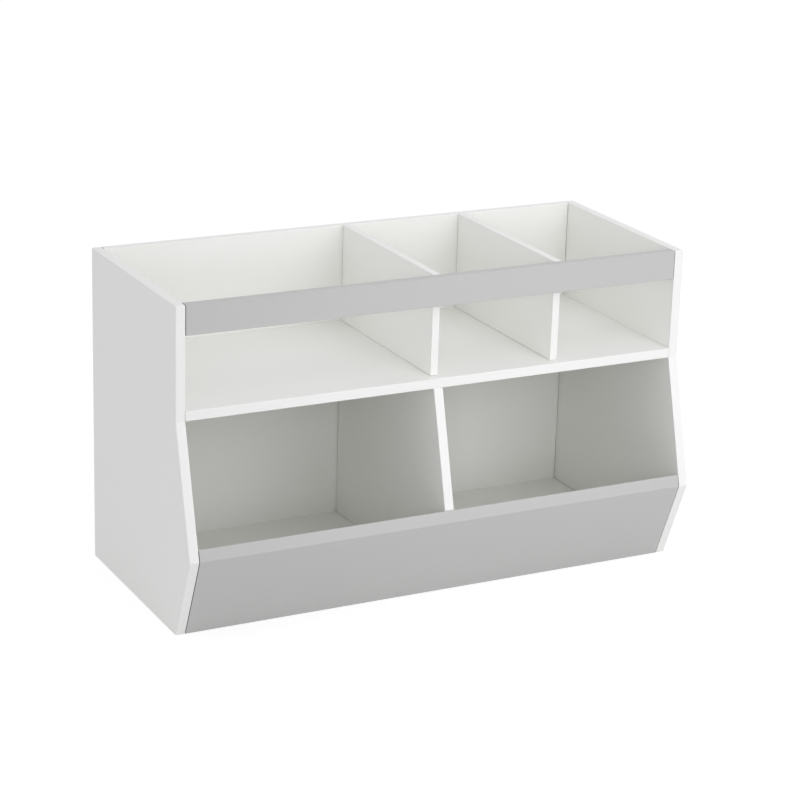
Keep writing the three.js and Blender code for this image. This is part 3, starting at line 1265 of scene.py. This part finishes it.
    def cam_tree(self, size: CamSize) -> GeometryTree:
        """The form of one cam: a chamfered disc with a cross drive, a mouth and a groove for the bolt.

        Args:
            size: the cam's sizes.

        Returns:
            The tree.
        """
        tree = GeometryTree("cam form", {
            "Radius": size.radius,
            "Depth": size.depth,
            "Chamfer": self.cam_chamfer,
            "Axis below face": size.axis_below_face,
            "Pocket radius": size.head + self.fit,
            "Groove radius": size.neck + self.fit,
            "Pocket length": size.head_length + 2 * self.fit,
            **self.cam_drive.inputs(),
        }, self.palette[Finish.ZINC])
        radius, depth = tree.given_as("Radius"), tree.given_as("Depth")
        barrel = tree.cone(radius, radius, depth * self.barrel_share, depth * -1)
        rim, fall = radius - tree.given_as("Chamfer"), depth * self.brim_share
        brim = tree.cone(rim + fall, rim, fall, fall * -1)
        level = tree.triple(0.0, 0.0, tree.given_as("Axis below face") * -1)
        toward_bolt = (0.0, math.pi / 2, 0.0)
        toward_mouth = (0.0, math.pi / 2, -self.cam_turn)
        pocket, groove = tree.given_as("Pocket radius"), tree.given_as("Groove radius")
        length, run = tree.given_as("Pocket length"), radius * self.cutter_share
        mouth = pocket * self.mouth_share
        cutters = [
            tree.moved(tree.cone(pocket, pocket, length, length * -0.5), level, toward_bolt),
            tree.moved(tree.cone(groove, groove, run, 0.0), level, toward_bolt),
            tree.moved(tree.cone(mouth, mouth, run, 0.0), level, toward_mouth),
            *tree.cross_slot(),
        ]
        tree.set_on_points(tree.cut(tree.joined(Join.INTERSECT, [barrel, brim]), cutters))
        return tree

    def screw_tree(self, length: float) -> GeometryTree:
        """The form of one countersunk screw with a cross drive.

        Args:
            length: the screw's length.

        Returns:
            The tree.
        """
        taper = self.screw_head_height / (self.screw_head - self.screw_shank)
        core = self.screw_shank / 2
        tree = GeometryTree("screw form", {
            "Head radius": self.screw_head,
            "Head core radius": core,
            "Head cone height": taper * (self.screw_head - core),
            "Shank radius": self.screw_shank,
            "Length": length,
            "Point base radius": self.screw_shank * length / self.screw_point,
            "Point end radius": self.screw_shank * self.tip_share,
            **self.screw_drive.inputs(),
        }, self.palette[Finish.STEEL])
        shank, whole = tree.given_as("Shank radius"), tree.given_as("Length")
        rim, inside = tree.given_as("Head radius"), tree.given_as("Head core radius")
        head = tree.cone(rim, inside, tree.given_as("Head cone height"), 0.0)
        stem = tree.cone(shank, shank, whole, whole * self.stem_start)
        point = tree.cone(tree.given_as("Point base radius"), tree.given_as("Point end radius"), whole, 0.0)
        body = tree.joined(Join.UNION, [head, tree.joined(Join.INTERSECT, [stem, point])])
        tree.set_on_points(tree.cut(body, tree.cross_slot()))
        return tree

    def build(self) -> None:
        """Makes the cams and the screws, and dresses the bolts and dowels, which lie inside the boards."""
        for label, size in (("thick", self.thick_cam), ("thin", self.thin_cam)):
            names = [name for name in self.named(Kind.CAM) if self.cam_size(name) == size]
            seats = [self.cam_seat(name) for name in names]
            declare(self.cam_tree(size).run(f"cams_in_{label}_boards", seats), names)
        screws = self.named(Kind.SCREW)
        length = max(Box.of(screws[0]).size)
        seats = [self.screw_seat(name) for name in screws]
        declare(self.screw_tree(length).run("countersunk_screws", seats), screws)
        for kind, finish in ((Kind.BOLT, Finish.STEEL), (Kind.DOWEL, Finish.BEECH)):
            for name in self.named(kind):
                for slot in self.nodes[name].material_slots:
                    slot.material = self.palette[finish]
                LOG.info("%s: %s", name, finish.value.name)


# Studio


@dataclass(frozen=True)
class Lamp:
    """A soft square lamp that shines mostly within an angle, and that the camera doesn't see."""

    name: str
    place: Triple
    aim: Triple
    side: float
    power: float
    spread: float
    colour: Colour = (0.955, 0.954, 1.0)

    def build(self) -> None:
        """Puts the lamp into the scene."""
        lamp = bpy.data.lights.new(self.name, "AREA")
        lamp.shape = "SQUARE"
        lamp.size = self.side
        lamp.energy = self.power
        lamp.spread = self.spread
        lamp.color = self.colour
        made = bpy.data.objects.new(self.name, lamp)
        bpy.context.scene.collection.objects.link(made)
        made.location = self.place
        made.rotation_euler = (Vector(self.aim) - Vector(self.place)).to_track_quat("-Z", "Y").to_euler()
        made.visible_camera = False


@dataclass
class Studio:
    """A pale floor, soft light from the front and the camera at the photograph's angle."""

    floor_side: float = 40.0
    floor_colour: float = 0.8
    floor_shade_share: float = 0.45
    floor_glow: float = 0.69
    ambient: Colour = (0.718, 0.717, 0.751)
    lamps: tuple[Lamp, ...] = (
        Lamp("key lamp", (0.82, -2.26, 1.1), (0.0, 0.0, 0.3), 1.2, 5.2, math.radians(120)),
        Lamp("fill lamp", (-0.9, -2.2, 1.0), (0.35, 0.0, 0.3), 0.8, 0.7, math.radians(50)),
        Lamp("top lamp", (0.5, -1.2, 1.9), (0.3, 0.15, 0.45), 0.8, 0.35, math.radians(60)),
    )
    camera_place: Triple = (-1.6799, -3.2480, 1.4947)
    camera_azimuth: float = math.radians(27.48)
    camera_elevation: float = math.radians(18.58)
    camera_roll: float = math.radians(1.757)
    focal_pixels: float = 2496.2
    image_side: float = 800.0
    sensor: float = 36.0

    def build(self) -> None:
        """Makes the floor, the light and the camera."""
        self._floor()
        self._world()
        for lamp in self.lamps:
            lamp.build()
        self._camera()

    def _seen(self, shader: Shader) -> Value:
        """Tells what is seen from what gives light.

        Args:
            shader: the nodes that the answer is used in.

        Returns:
            1 where the camera sees a place itself, or in a mirror or through glass, and 0 for its light.
        """
        names = ("Is Camera Ray", "Is Glossy Ray", "Is Transmission Ray")
        camera, glossy, through = (shader.node("ShaderNodeLightPath", None, None, name) for name in names)
        return camera.at_least(glossy).at_least(through)

    def _floor(self) -> None:
        """A wide pale floor that is white to the camera and keeps the unit's shadow."""
        half = self.floor_side / 2
        mesh = bpy.data.meshes.new("floor")
        corners = [(-half, -half, 0), (half, -half, 0), (half, half, 0), (-half, half, 0)]
        mesh.from_pydata(corners, [], [(0, 1, 2, 3)])
        made, shader = fresh_material("pale floor")
        grey = self.floor_colour
        lit = shader.node("ShaderNodeBsdfDiffuse", None, {"Color": (grey, grey, grey, 1.0)})
        share = self.floor_shade_share
        shade = shader.node("ShaderNodeBsdfDiffuse", None, {"Color": (share, share, share, 1.0)})
        glow = shader.node("ShaderNodeEmission", None, {"Color": (1, 1, 1, 1), "Strength": self.floor_glow})
        shown = shader.node("ShaderNodeAddShader", None, {0: shade, 1: glow})
        mixed = shader.node("ShaderNodeMixShader", None, {0: self._seen(shader), 1: lit, 2: shown})
        shader.node("ShaderNodeOutputMaterial", None, {"Surface": mixed})
        mesh.materials.append(made)
        link("floor", mesh)

    def _world(self) -> None:
        """Even light from all round, white where the camera sees it."""
        world = bpy.data.worlds.new("studio")
        world.use_nodes = True
        bpy.context.scene.world = world
        shader = Shader(world.node_tree)
        colour = shader.blend(self._seen(shader), self.ambient, (1.0, 1.0, 1.0))
        light = shader.node("ShaderNodeBackground", None, {"Color": colour, "Strength": 1.0})
        shader.node("ShaderNodeOutputWorld", None, {"Surface": light})

    def _camera(self) -> None:
        """The camera, placed and turned as the photograph's lines say."""
        lens = bpy.data.cameras.new("camera")
        lens.sensor_width = self.sensor
        lens.lens = self.focal_pixels * self.sensor / self.image_side
        made = bpy.data.objects.new("camera", lens)
        bpy.context.scene.collection.objects.link(made)
        made.matrix_world = (
            Matrix.Translation(self.camera_place)
            @ Matrix.Rotation(-self.camera_azimuth, 4, "Z")
            @ Matrix.Rotation(math.pi / 2 - self.camera_elevation, 4, "X")
            @ Matrix.Rotation(self.camera_roll, 4, "Z")
        )
        bpy.context.scene.camera = made


def main() -> None:
    """Builds the unit and its studio."""
    logging.basicConfig(level=logging.INFO, format="%(name)s %(message)s")
    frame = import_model()
    bpy.context.scene.view_settings.view_transform = "Standard"
    palette = Palette()
    slants = FrontSlants()
    Studio().build()
    fittings = Fittings(frame["nodes"], slants, palette)
    bores = fittings.bores()
    for assembly in (Carcass(slants), Dividers(slants), GreyFronts(slants)):
        assembly.build(bores, palette)
    fittings.build()


if __name__ == "__main__":
    main()
